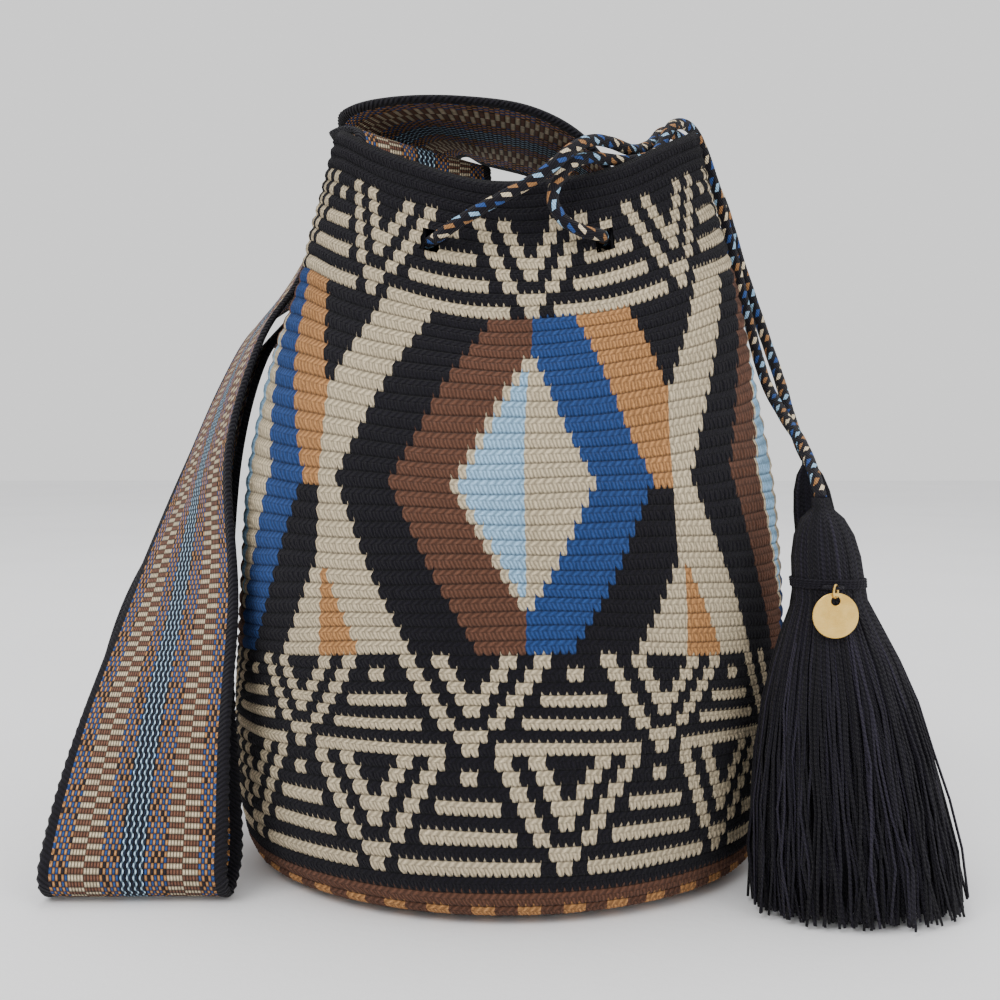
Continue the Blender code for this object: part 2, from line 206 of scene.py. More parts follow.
class MochilaYarns(bpy.types.PropertyGroup):
    black: colour_setting("Black", "Ground yarn", (0.0068, 0.0058, 0.0100))
    cream: colour_setting("Cream", "Yarn of the V figures", (0.660, 0.545, 0.370))
    tan: colour_setting("Tan", "Light brown yarn", (0.520, 0.250, 0.094))
    brown: colour_setting("Brown", "Dark brown yarn", (0.135, 0.060, 0.037))
    blue: colour_setting("Blue", "Deep blue yarn", (0.022, 0.066, 0.225))
    sky: colour_setting("Sky", "Pale blue yarn", (0.350, 0.590, 0.830))
    gold: colour_setting("Gold", "Plate of the charm", (0.860, 0.570, 0.170))


class MochilaSizes(bpy.types.PropertyGroup):
    cord_diameter: FloatProperty(name="Cord diameter", description="Diameter of the drawcord",
                                 default=0.0050, unit="LENGTH")
    strand_radius: FloatProperty(name="Strand radius", description="Radius of one tassel strand",
                                 default=0.00058, unit="LENGTH")
    lens: FloatProperty(name="Lens", description="Focal length of the camera in millimetres",
                        default=50.2)
    strap_thickness: FloatProperty(name="Strap thickness", description="Thickness of the woven band",
                                   default=0.0026, unit="LENGTH")
    wrap_turns: IntProperty(name="Wrap turns", description="Turns of yarn round a tassel's neck",
                            default=4, min=1)


# ---------------------------------------------------------------- curves and meshes
def smooth_table(x, xs, ys):
    """Values on a smooth curve through the points of a table."""
    xs, ys = np.asarray(xs, float), np.asarray(ys, float)
    slopes = np.gradient(ys, xs)
    x = np.asarray(x, float)
    k = np.clip(np.searchsorted(xs, x, side="right") - 1, 0, len(xs) - 2)
    h = xs[k + 1] - xs[k]
    t = np.clip((x - xs[k]) / h, 0.0, 1.0)
    t2, t3 = t * t, t * t * t
    return ((2 * t3 - 3 * t2 + 1) * ys[k] + (t3 - 2 * t2 + t) * h * slopes[k]
            + (3 * t2 - 2 * t3) * ys[k + 1] + (t3 - t2) * h * slopes[k + 1])


def spline_points(values, steps):
    """Points on a Catmull-Rom curve, the given number to each stretch."""
    v = np.asarray(values, float)
    v = np.vstack([2 * v[0] - v[1], v, 2 * v[-1] - v[-2]])
    t = (np.arange(steps) / steps)[:, None]
    out = []
    for a, b, c, d in zip(v, v[1:], v[2:], v[3:]):
        out.append(0.5 * (2 * b + (c - a) * t + (2 * a - 5 * b + 4 * c - d) * t ** 2
                          + (3 * b - a - 3 * c + d) * t ** 3))
    out.append(v[-2][None, :])
    return np.vstack(out)


def evenly(points, step, *also):
    """The same curve with its points a step apart, and other values carried along it."""
    lengths = np.concatenate([[0.0], np.cumsum(np.linalg.norm(np.diff(points, axis=0), axis=1))])
    count = max(2, int(round(lengths[-1] / step)) + 1)
    at = np.linspace(0.0, lengths[-1], count)
    resampled = []
    for values in (points, *also):
        columns = [np.interp(at, lengths, values[:, k]) for k in range(values.shape[1])]
        resampled.append(np.stack(columns, axis=1))
    return resampled


def unit(v):
    return v / np.maximum(np.linalg.norm(v, axis=-1, keepdims=True), 1e-12)


def frames_along(points):
    """Tangent, side and up directions that turn as little as they can along a curve."""
    tangents = unit(np.gradient(points, axis=0))
    side = unit(np.cross(tangents[0], (0.0, 0.0, 1.0)) + 1e-6)
    sides = []
    for tangent in tangents:
        side = unit(side - tangent * np.dot(side, tangent))
        sides.append(side)
    sides = np.array(sides)
    return tangents, sides, np.cross(tangents, sides)


def new_object(name, vertices, faces, material):
    mesh = bpy.data.meshes.new(name)
    mesh.from_pydata(np.asarray(vertices).tolist(), [], [list(f) for f in faces])
    mesh.materials.append(material)
    obj = bpy.data.objects.new(name, mesh)
    bpy.context.scene.collection.objects.link(obj)
    mesh.shade_smooth()
    return obj


def corner_colours(mesh, name, colours):
    """One colour for each face, kept on its corners."""
    layer = mesh.color_attributes.new(name, "FLOAT_COLOR", "CORNER")
    totals = np.empty(len(mesh.polygons), dtype=np.int32)
    mesh.polygons.foreach_get("loop_total", totals)
    rgba = np.ones((len(totals), 4), dtype=np.float32)
    rgba[:, :3] = colours
    layer.data.foreach_set("color", np.repeat(rgba, totals, axis=0).ravel())


def corner_uvs(mesh, name, uvs):
    layer = mesh.uv_layers.new(name=name)
    layer.data.foreach_set("uv", np.asarray(uvs, dtype=np.float32).ravel())


def tube(points, radius_at, sides, turn=None):
    """Rings of points round a path, where radius_at gives each point's distance."""
    _, side, up = frames_along(points)
    angles = np.arange(sides) / sides * 2 * math.pi
    rings = []
    for i, point in enumerate(points):
        shift = 0.0 if turn is None else turn[i]
        a = angles + shift
        r = radius_at(i, angles)[:, None]
        rings.append(point + r * (np.cos(a)[:, None] * side[i] + np.sin(a)[:, None] * up[i]))
    return np.array(rings)


def ring_faces(rings, sides, start=0, caps=True):
    faces = []
    for i in range(rings - 1):
        low, high = start + i * sides, start + (i + 1) * sides
        for j in range(sides):
            k = (j + 1) % sides
            faces.append((low + j, low + k, high + k, high + j))
    if caps:
        faces.append(tuple(start + j for j in reversed(range(sides))))
        faces.append(tuple(start + (rings - 1) * sides + j for j in range(sides)))
    return faces


def tube_uvs(runs, sides, width):
    """The map of a capped tube: across in parts of a width, along by the runs."""
    uvs = []
    for low, high in zip(runs, runs[1:]):
        for j in range(sides):
            left, right = j / width, (j + 1) / width
            uvs += [(left, low), (right, low), (right, high), (left, high)]
    return uvs + [(0.0, 0.0)] * (2 * sides)


# ---------------------------------------------------------------- materials
class Nodes:
    """Short names for building a material's node tree."""

    def __init__(self, name):
        self.material = bpy.data.materials.new(name)
        self.material.use_nodes = True
        self.tree = self.material.node_tree
        self.shader = self.tree.nodes["Principled BSDF"]

    def put(self, socket, value):
        if hasattr(value, "is_linked"):
            self.tree.links.new(value, socket)
        else:
            socket.default_value = value

    def math(self, operation, a, b=0.0, c=0.0):
        node = self.tree.nodes.new("ShaderNodeMath")
        node.operation = operation
        for socket, value in zip(node.inputs, (a, b, c)):
            self.put(socket, value)
        return node.outputs[0]

    def ramp(self, value, low, high, to_low=0.0, to_high=1.0):
        node = self.tree.nodes.new("ShaderNodeMapRange")
        node.interpolation_type = "SMOOTHSTEP"
        for socket, number in zip(node.inputs, (value, low, high, to_low, to_high)):
            self.put(socket, number)
        return node.outputs[0]

    def mix(self, factor, a, b, blend="MIX"):
        node = self.tree.nodes.new("ShaderNodeMix")
        node.data_type = "RGBA"
        node.blend_type = blend
        self.put(node.inputs[0], factor)
        self.put(node.inputs[6], a)
        self.put(node.inputs[7], b)
        return node.outputs[2]

    def shaded(self, colour, shade):
        """A colour made darker or lighter by a number."""
        grey = self.tree.nodes.new("ShaderNodeCombineXYZ")
        for socket in grey.inputs:
            self.put(socket, shade)
        return self.mix(1.0, colour, grey.outputs[0], "MULTIPLY")

    def uv(self, name):
        node = self.tree.nodes.new("ShaderNodeUVMap")
        node.uv_map = name
        split = self.tree.nodes.new("ShaderNodeSeparateXYZ")
        self.tree.links.new(node.outputs[0], split.inputs[0])
        return split.outputs[0], split.outputs[1]

    def attribute(self, name):
        node = self.tree.nodes.new("ShaderNodeAttribute")
        node.attribute_name = name
        return node.outputs["Color"]

    def noise(self, scale, detail=3.0, roughness=0.6, stretch=(1.0, 1.0, 1.0)):
        place = self.tree.nodes.new("ShaderNodeTexCoord")
        mapping = self.tree.nodes.new("ShaderNodeMapping")
        mapping.inputs["Scale"].default_value = stretch
        node = self.tree.nodes.new("ShaderNodeTexNoise")
        self.tree.links.new(place.outputs["Object"], mapping.inputs["Vector"])
        self.tree.links.new(mapping.outputs[0], node.inputs["Vector"])
        node.inputs["Scale"].default_value = scale
        node.inputs["Detail"].default_value = detail
        node.inputs["Roughness"].default_value = roughness
        return node.outputs[0]

    def wave(self, turns):
        """From 0 to 1 and back once for each whole turn."""
        cosine = self.math("COSINE", self.math("MULTIPLY", turns, 2 * math.pi))
        return self.math("MULTIPLY_ADD", cosine, 0.5, 0.5)

    def bump(self, height, distance):
        node = self.tree.nodes.new("ShaderNodeBump")
        node.inputs["Strength"].default_value = 1.0
        node.inputs["Distance"].default_value = distance
        self.tree.links.new(height, node.inputs["Height"])
        return node.outputs[0]

    def finish(self, colour, normal, roughness=0.9, sheen=0.0, sheen_roughness=0.5, metallic=0.0,
               specular=0.3):
        inputs = self.shader.inputs
        self.put(inputs["Base Color"], colour)
        self.tree.links.new(normal, inputs["Normal"])
        self.put(inputs["Roughness"], roughness)
        inputs["Metallic"].default_value = metallic
        inputs["Sheen Weight"].default_value = sheen
        inputs["Sheen Roughness"].default_value = sheen_roughness
        inputs["Specular IOR Level"].default_value = specular
        return self.material


def crochet_material():
    """Single crochet: slanting legs under a row of loops that lean the other way."""
    n = Nodes("crocheted_yarn")
    u, v = n.uv("stitches")
    row = n.math("FRACT", v)
    wander = n.math("MULTIPLY", n.math("SUBTRACT", n.noise(330.0, 3.0), 0.5), 1.1)
    u = n.math("MULTIPLY_ADD", wander, 0.45, u)
    leg_turn = n.math("MULTIPLY_ADD", row, 0.95, n.math("MULTIPLY", u, 2.0))
    legs = n.wave(leg_turn)
    loop_turn = n.math("SUBTRACT", u, n.math("MULTIPLY", row, 1.3))
    loops = n.wave(loop_turn)
    upper = n.ramp(row, 0.56, 0.68)
    strand = n.math("ADD", n.math("MULTIPLY", legs, n.math("SUBTRACT", 1.0, upper)),
                    n.math("MULTIPLY", loops, upper))
    ply_turn = n.math("MULTIPLY_ADD", row, 3.0, n.math("MULTIPLY", u, 7.0))
    ply = n.wave(ply_turn)
    crease = n.ramp(n.math("ABSOLUTE", n.math("SUBTRACT", row, 0.62)), 0.0, 0.09)
    foot = n.ramp(row, 0.0, 0.16)
    crown = n.ramp(row, 1.0, 0.93)
    groove_depth_and_shade = n.math("MULTIPLY", n.math("MULTIPLY", foot, crown), n.math("MULTIPLY_ADD", crease, 0.45, 0.55))
    fuzz = n.noise(2600.0, 2.0, 0.7)
    height = n.math("ADD", n.math("MULTIPLY", strand, 0.55), n.math("MULTIPLY", ply, 0.16))
    height = n.math("MULTIPLY_ADD", groove_depth_and_shade, 0.55, height)
    height = n.math("MULTIPLY_ADD", fuzz, 0.35, height)

    # the tips of the round below reach up between the stitches
    near_edge = n.math("ABSOLUTE", n.math("SUBTRACT", n.math("FRACT", n.math("ADD", u, 0.42)), 0.5))
    tip = n.math("SUBTRACT", n.math("SUBTRACT", 0.20, n.math("MULTIPLY", row, 0.62)), near_edge)
    tip = n.math("GREATER_THAN", tip, 0.0)
    yarn = n.mix(tip, n.attribute("yarn"), n.attribute("yarn_below"))
    # painted shading: the crest of each strand is painted lighter and its sides darker
    shade = n.math("MULTIPLY_ADD", strand, 0.55, 0.53)
    # painted shade: the crease between legs and loops and the foot and crown of each row are darkened in the
    # colour
    shade = n.math("MULTIPLY", shade, n.math("MULTIPLY_ADD", groove_depth_and_shade, 0.55, 0.50))
    # painted shading: the crests of the ply twist are painted lighter and its grooves darker
    shade = n.math("MULTIPLY", shade, n.math("MULTIPLY_ADD", ply, 0.24, 0.90))
    wool = n.math("MULTIPLY_ADD", n.noise(1100.0, 4.0, 0.8), 1.10, 0.48)
    shade = n.math("MULTIPLY", shade, wool)
    shade = n.math("MULTIPLY", shade, n.math("MULTIPLY_ADD", n.noise(28.0, 2.0), 0.3, 0.85))
    colour = n.shaded(yarn, shade)
    normal = n.bump(height, 0.0011)
    return n.finish(colour, normal, 0.92, 0.03, 0.6, specular=0.15)


def strap_material():
    """Warp-faced weave: short floats of yarn, wavy pale lines in the middle, ribbed borders."""
    n = Nodes("woven_band")
    u, v = n.uv("weave")
    cell_u = n.math("FRACT", u)
    cell_v = n.math("FRACT", v)
    across = n.math("SINE", n.math("MULTIPLY", cell_u, math.pi))
    along = n.math("SINE", n.math("MULTIPLY", cell_v, math.pi))
    float_height = n.math("MULTIPLY", n.math("POWER", across, 0.7), n.math("POWER", along, 0.4))

    sway = n.math("MULTIPLY", n.math("SINE", n.math("MULTIPLY", v, math.pi)), 0.30)
    line_turn = n.math("FRACT", n.math("MULTIPLY", n.math("ADD", u, sway), 0.5))
    lines = n.math("ABSOLUTE", n.math("SUBTRACT", line_turn, 0.5))
    first, last = STRAP_MIDDLE
    in_middle = n.math("MULTIPLY", n.math("GREATER_THAN", u, first), n.math("LESS_THAN", u, last))
    pale = n.math("MULTIPLY", n.math("LESS_THAN", lines, 0.15), in_middle)
    from_edge = n.math("MINIMUM", u, n.math("SUBTRACT", float(STRAP_CELLS), u))
    border = n.math("LESS_THAN", from_edge, STRAP_BORDER)
    rib_turn = n.math("MULTIPLY_ADD", from_edge, 0.45, n.math("MULTIPLY", v, 1.1))
    ribs = n.wave(rib_turn)

    yarn = n.mix(in_middle, n.attribute("yarn"), (0.008, 0.014, 0.034, 1.0))
    yarn = n.mix(pale, yarn, (0.55, 0.80, 1.0, 1.0))
    wool = n.math("MULTIPLY_ADD", n.noise(700.0, 4.0), 0.5, 0.75)
    # painted shade: the gaps between the floats and the hollows between the ribs are darkened in the colour
    woven = n.math("MULTIPLY_ADD", n.math("POWER", float_height, 1.6), 0.95, 0.12)
    ribbed = n.math("MULTIPLY_ADD", ribs, 0.75, 0.40)
    shade = n.math("ADD", n.math("MULTIPLY", woven, n.math("SUBTRACT", 1.0, border)),
                   n.math("MULTIPLY", ribbed, border))
    shade = n.math("MULTIPLY", shade, wool)
    colour = n.shaded(yarn, shade)
    height = n.math("ADD", n.math("MULTIPLY", float_height, n.math("SUBTRACT", 1.0, border)),
                    n.math("MULTIPLY", n.math("MULTIPLY", ribs, 1.3), border))
    height = n.math("MULTIPLY_ADD", n.noise(2400.0, 2.0), 0.4, height)
    return n.finish(colour, n.bump(height, 0.00055), 0.88, 0.03, 0.6, specular=0.2)


def strand_material(name, twist_scale, sheen):
    """Twisted yarn that takes its colour from the piece."""
    n = Nodes(name)
    u, v = n.uv("yarn_run")
    twist = n.wave(n.math("ADD", n.math("MULTIPLY", u, 2.0), n.math("MULTIPLY", v, twist_scale)))
    wool = n.noise(900.0, 4.0)
    # painted shade: the grooves of the twist are darkened in the colour
    shade = n.math("MULTIPLY", n.math("MULTIPLY_ADD", twist, 0.5, 0.6),
                   n.math("MULTIPLY_ADD", wool, 0.5, 0.75))
    colour = n.shaded(n.attribute("yarn"), shade)
    height = n.math("MULTIPLY_ADD", n.noise(3000.0, 2.0), 0.4, twist)
    return n.finish(colour, n.bump(height, 0.0003), 0.85, sheen, 0.5, specular=0.2)


def gold_material(colour):
    """Polished plate with faint hairlines and a few soft smudges."""
    n = Nodes("gold_plate")
    hairlines = n.noise(900.0, 2.0, 0.5, (1.0, 1.0, 14.0))
    smudge = n.noise(160.0, 3.0)
    dull = (colour[0] * 0.86, colour[1] * 0.80, colour[2] * 0.66, 1.0)
    tone = n.mix(n.ramp(smudge, 0.35, 0.75), (*colour, 1.0), dull)
    roughness = n.ramp(smudge, 0.2, 0.9, 0.16, 0.34)
    return n.finish(tone, n.bump(hairlines, 0.00004), roughness, metallic=1.0, specular=0.5)


def floor_material():
    n = Nodes("pale_floor")
    tone = n.mix(n.ramp(n.noise(3.0, 2.0), 0.3, 0.7), (0.86, 0.86, 0.87, 1.0), (0.89, 0.89, 0.90, 1.0))
    return n.finish(tone, n.bump(n.noise(220.0, 3.0), 0.0002), 0.8)


# ---------------------------------------------------------------- the body
def yarn_palette():
    yarns = bpy.context.scene.mochila_yarns
    return np.array([yarns.black, yarns.cream, yarns.tan, yarns.brown, yarns.blue, yarns.sky])


def v_row(row, x):
    """Cream stitches of one row of the V figures, row 1 at the top and x from a V's middle."""
    x = (x + V_PERIOD / 2) % V_PERIOD - V_PERIOD / 2
    far, between = np.abs(x), V_PERIOD / 2 - np.abs(x)
    cream = np.zeros_like(x, dtype=bool)
    if row <= 6:
        cream |= (far > 8 - row) & (far < 10 - row)
    if row <= 3:
        cream |= (far > 4 - row) & (far < 6 - row)
    tips = {4: 2, 5: 1, 7: 2, 8: 1}
    if row in tips:
        cream |= far < tips[row]
    bars = {2: 1, 4: 4, 6: 6, 8: 9}
    if row in bars:
        cream |= between < bars[row]
    return np.where(cream, CREAM, BLACK)


def diamond_row(level, x):
    """One row of the diamonds, level 0 at their widest and x from a diamond's middle."""
    away = abs(level)
    left_end = 25 - away
    x = (x + left_end) % DIAMOND_PERIOD - left_end
    ring, inner = 17 - away, 9 - away
    out = np.full(x.shape, BLACK)
    in_ring = np.abs(x) < ring
    out[in_ring & (x < 0)] = BROWN
    out[in_ring & (x > 0)] = BLUE
    in_core = np.abs(x) < inner
    out[in_core] = CREAM
    if away < 8:
        out[in_core & (x < 0) & (x > -inner + 1)] = SKY
    right = x > ring
    if level >= 0:
        out[right] = CREAM
        if away <= 5:
            out[right & (x < 20)] = TAN
        else:
            out[right & (x < 15 + away)] = BLACK
            out[right & (x < 25 - away)] = TAN
    else:
        edge = 20 if away <= 5 else 25 - away
        out[right & (x > edge)] = CREAM
        if away >= 6:
            out[right & (x > 21) & (x < 16 + away)] = TAN
    return out


def stitch_pattern():
    """The yarn of every stitch of the wall, rows from the base up."""
    x = np.arange(STITCHES) + 0.5
    rows = []
    for row in range(ROWS):
        if row < 2:
            marks = (np.arange(STITCHES) % 6 < 3) if row == 0 else np.zeros(STITCHES, dtype=bool)
            rows.append(np.where(marks, TAN, BROWN))
        elif 3 <= row < 11:
            rows.append(v_row(11 - row, x - 6))
        elif 11 <= row < 19:
            rows.append(v_row(19 - row, x + 6))
        elif 19 <= row < 42:
            rows.append(diamond_row(row - 30, x))
        elif 42 <= row < 50:
            rows.append(v_row(50 - row, x))
        else:
            rows.append(np.full(STITCHES, BLACK))
    return np.array(rows)


def wall_points(rows, angles, inset):
    """Points on the wall in mm for row numbers and angles from the front, as grids."""
    side_height = smooth_table(rows, ROW_MARKS, ROW_HEIGHTS)
    width = smooth_table(side_height, BODY_HEIGHTS, BODY_WIDTHS) - inset
    depth = smooth_table(side_height, BODY_HEIGHTS, BODY_DEPTHS) - inset
    lean = smooth_table(side_height, BODY_HEIGHTS, BODY_LEANS)
    dip = smooth_table(side_height, BODY_HEIGHTS, BODY_DIPS)
    side, front = np.sin(angles), -np.cos(angles)
    slump = 0.5 * np.sin(3 * angles + rows * 0.11) + 0.35 * np.sin(7 * angles - rows * 0.17 + 1.0)
    slump = slump * np.clip((rows - 2) / 8, 0, 1)
    waver = 0.35 * np.sin(9 * angles + rows * 0.6) * np.clip(rows / 6, 0, 1)
    height = side_height + dip * front * front + waver
    return np.stack([lean + (width + slump) * side, (depth + slump) * front, height], axis=-1)


def spread_angles(rows, turn):
    """Angles from the front for places round the bag, given as parts of a turn."""
    angles = turn * 2 * math.pi + CENTRE_TURN
    low, high = FRONT_SPREAD_ROWS
    part = np.clip((rows - low) / (high - low), 0.0, 1.0)
    return angles + FRONT_SPREAD * part * part * (3 - 2 * part) * np.sin(angles)


def eyelet_columns(columns):
    """The first and last column of each eyelet's gap."""
    half = EYELET_STITCHES * COLUMNS_A_STITCH / 2
    spans = []
    for place in EYELET_CENTRES:
        angle = math.asin((place - EYELET_LEAN) / EYELET_RADIUS) / (1 + FRONT_SPREAD)
        middle = (angle - CENTRE_TURN) / (2 * math.pi) * columns
        first = int(round(middle - half))
        spans.append((first, first + int(2 * half)))
    return spans


class Crochet:
    """Faces of the body, with the map and the two yarns of each."""

    def __init__(self):
        self.faces, self.uvs, self.yarns, self.below = [], [], [], []

    def add(self, corners, uvs, yarn, below=None):
        self.faces.append(tuple(int(i) for i in corners))
        self.uvs += uvs
        self.yarns.append(yarn)
        self.below.append(yarn if below is None else below)


def outer_wall(columns):
    """The outside of the wall, where the stitches stand out, and the angles of its top row."""
    levels = ROWS * LEVELS_A_ROW
    rows = (np.arange(levels + 1) / LEVELS_A_ROW)[:, None]
    phase = np.arange(levels + 1) % LEVELS_A_ROW
    along = np.arange(columns) / COLUMNS_A_STITCH
    slant = np.array(STITCH_SLANT)[phase]
    angles = spread_angles(rows, (along[None, :] + slant[:, None]) / STITCHES)
    between = np.arange(columns)[None, :] % COLUMNS_A_STITCH == 0
    relief = np.where(between, np.array(RELIEF_BETWEEN)[phase][:, None],
                      np.array(RELIEF_MIDDLE)[phase][:, None])
    relief = relief + np.random.default_rng(5).normal(0.0, RELIEF_UNEVEN, relief.shape)
    relief[-1] = RELIEF_RIM
    return wall_points(rows + 0 * angles, angles, YARN_INSET - relief), angles[-1:]


def inner_wall(columns, rim_angles, inside_rows):
    """The rounded edge of the rim, and the smoother inside of the wall under it."""
    rim = wall_points(np.full((1, columns), float(ROWS)), rim_angles, WALL / 2 + YARN_INSET)
    rim[..., 2] += RIM_ROUNDING
    turn = np.arange(columns)[None, :] / COLUMNS_A_STITCH / STITCHES
    wobble = 0.3 * np.sin(np.arange(columns) * math.pi / COLUMNS_A_STITCH)
    grids = [rim]
    for row in inside_rows:
        inset = WALL + YARN_INSET + wobble[None, :]
        grids.append(wall_points(np.full((1, columns), row), spread_angles(row, turn), inset))
    return grids


def flat_ring(columns, radius, height):
    angles = np.arange(columns)[None, :] / COLUMNS_A_STITCH / STITCHES * 2 * math.pi + CENTRE_TURN
    return np.stack([radius * np.sin(angles), -radius * np.cos(angles), np.full_like(angles, height)],
                    axis=-1)


def base_grids(columns):
    radii = np.linspace(*BASE_RADII, BASE_ROUNDS + 1)[1:]
    return [flat_ring(columns, radius, 0.15 + 0.35 * (k % 2)) for k, radius in enumerate(radii, 1)]


def wall_bands(count, inside_rows):
    """The round and the span of the map of each band of faces, up the outside and down the inside."""
    levels = ROWS * LEVELS_A_ROW
    marks = [float(ROWS), float(ROWS)] + inside_rows
    bands = []
    for k in range(count):
        past = k - levels
        if past < 0:
            bands.append((k // LEVELS_A_ROW, k / LEVELS_A_ROW, (k + 1) / LEVELS_A_ROW))
        elif past + 1 < len(marks):
            a, b = marks[past], marks[past + 1]
            bands.append((min(int((a + b) / 2), ROWS - 1), 2 * ROWS - a, 2 * ROWS - b))
        else:
            start = FLOOR_MAP + FLOOR_MAP_STEP * past
            bands.append((0, start, start + FLOOR_MAP_STEP))
    return bands


def crochet_wall(crochet, index, bands, gap, palette):
    """Faces of the wall and the floor, apart from the eyelets' gaps."""
    pattern = stitch_pattern()
    stitch_of = np.arange(index.shape[1]) // COLUMNS_A_STITCH
    after = np.roll(index, -1, axis=1)
    for k, (row, v0, v1) in enumerate(bands):
        mine = palette[pattern[row][stitch_of]]
        lower = palette[pattern[max(row - 1, 0)][stitch_of]]
        for c in np.nonzero(~gap[k])[0]:
            u0, u1 = c / COLUMNS_A_STITCH, (c + 1) / COLUMNS_A_STITCH
            crochet.add((index[k][c], after[k][c], after[k + 1][c], index[k + 1][c]),
                        [(u0, v0), (u1, v0), (u1, v1), (u0, v1)], mine[c], lower[c])


def crochet_base(crochet, rings, palette):
    """Rounds of the base in brown and black, with tan marks where it meets the wall."""
    for k, (high, low) in enumerate(zip(rings, rings[1:])):
        high_after, low_after = np.roll(high, -1), np.roll(low, -1)
        ring_yarn = palette[BROWN if (k // 2) % 2 == 0 else BLACK]
        v1 = BASE_MAP - BASE_MAP_STEP * k
        v0 = v1 - BASE_MAP_STEP
        for c in range(len(high)):
            u0, u1 = c / COLUMNS_A_STITCH, (c + 1) / COLUMNS_A_STITCH
            tan_mark = (k == 0) and (c // COLUMNS_A_STITCH % 6 < 3)
            crochet.add((low[c], low_after[c], high_after[c], high[c]),
                        [(u0, v0), (u1, v0), (u1, v1), (u0, v1)],
                        palette[TAN] if tan_mark else ring_yarn)


def line_eyelets(crochet, index, spans, levels, first_inside, black):
    """The thickness of the wall round each eyelet."""
    columns = index.shape[1]
    low_level, high_level = levels
    top_in, low_in = index[first_inside], index[first_inside + 1]
    outside = range(low_level, high_level + 1)
    for first, last in spans:
        left, right = first % columns, last % columns
        left_side = [index[k][left] for k in outside] + [top_in[left], low_in[left]]
        right_side = [index[k][right] for k in reversed(outside)] + [low_in[right], top_in[right]]
        for corners in (left_side, right_side):
            crochet.add(corners, [EYELET_MAP] * len(corners), black)
        for c in range(first, last):
            a, b = c % columns, (c + 1) % columns
            crochet.add((index[high_level][a], index[high_level][b], top_in[b], top_in[a]),
                        [EYELET_MAP] * 4, black)
            crochet.add((low_in[a], low_in[b], index[low_level][b], index[low_level][a]),
                        [EYELET_MAP] * 4, black)


def build_body(material):
    columns = STITCHES * COLUMNS_A_STITCH
    inside_rows = [52.2, 50.4, EYELET_ROWS[1], EYELET_ROWS[0], 45.0, 43.2, 41.3]
    inside_rows += list(np.arange(39.0, 1.0, -INSIDE_STEP))
    outer, rim_angles = outer_wall(columns)
    grids = [outer] + inner_wall(columns, rim_angles, inside_rows)
    grids += [flat_ring(columns, radius, FLOOR_HEIGHT) for radius in FLOOR_RADII]
    base_start = sum(len(grid) for grid in grids)
    points = np.vstack(grids + base_grids(columns)) * MM
    points[..., 2] = np.maximum(points[..., 2], 0.1 * MM)
    index = np.arange(len(points) * columns).reshape(len(points), columns)

    # the eyelets are left open outside and inside
    open_levels = [int(round(r * LEVELS_A_ROW)) for r in EYELET_ROWS]
    first_inside = len(outer) + 1 + inside_rows.index(EYELET_ROWS[1])
    spans = eyelet_columns(columns)
    gap = np.zeros((base_start - 1, columns), dtype=bool)
    for first, last in spans:
        cells = [c % columns for c in range(first, last)]
        gap[slice(*open_levels), cells] = True
        gap[first_inside, cells] = True

    palette = yarn_palette()
    crochet = Crochet()
    crochet_wall(crochet, index, wall_bands(base_start - 1, inside_rows), gap, palette)
    crochet_base(crochet, [index[0], *index[base_start:]], palette)
    # close the middle of the floor and of the base
    for ring in (index[base_start - 1], index[-1][::-1]):
        crochet.add(ring, [(i * 0.5, MIDDLE_MAP) for i in range(columns)], palette[BROWN])
    line_eyelets(crochet, index, spans, open_levels, first_inside, palette[BLACK])

    obj = new_object("crocheted_body", points.reshape(-1, 3), crochet.faces, material)
    corner_uvs(obj.data, "stitches", crochet.uvs)
    corner_colours(obj.data, "yarn", np.array(crochet.yarns))
    corner_colours(obj.data, "yarn_below", np.array(crochet.below))
    return obj


# ---------------------------------------------------------------- the strap
def strap_yarns(rows):
    """The yarn of each cell of the weave, across by along."""
    yarns = bpy.context.scene.mochila_yarns
    black, cream, tan = np.array(yarns.black), np.array(yarns.cream), np.array(yarns.tan)
    brown, blue = np.array(yarns.brown), np.array(yarns.blue)
    rng = np.random.default_rng(17)
    grid = np.zeros((rows, STRAP_CELLS, 3))
    grid[:] = black
    j = np.arange(rows)[:, None]
    i = np.arange(STRAP_CELLS)[None, :]
    speck = (i + j) % 2 == 0
    speck_cells = np.any([(i >= first) & (i < last) for first, last in STRAP_SPECKS], axis=0)
    weight = rng.random((rows, STRAP_CELLS))
    grid[speck & speck_cells] = tan * 0.95
    grid[~speck & speck_cells] = blue * 1.1
    dark = speck_cells & ~speck & (weight > 0.72)
    grid[dark] = black * 2.0
    for k, (first, last) in enumerate(STRAP_DASHES):
        cells = (i >= first) & (i < last)
        pale = (j + k) % 2 == 0
        grid[cells & pale] = cream
        grid[cells & ~pale] = brown * 1.3
    return grid * (0.85 + 0.3 * rng.random((rows, STRAP_CELLS)))[..., None]


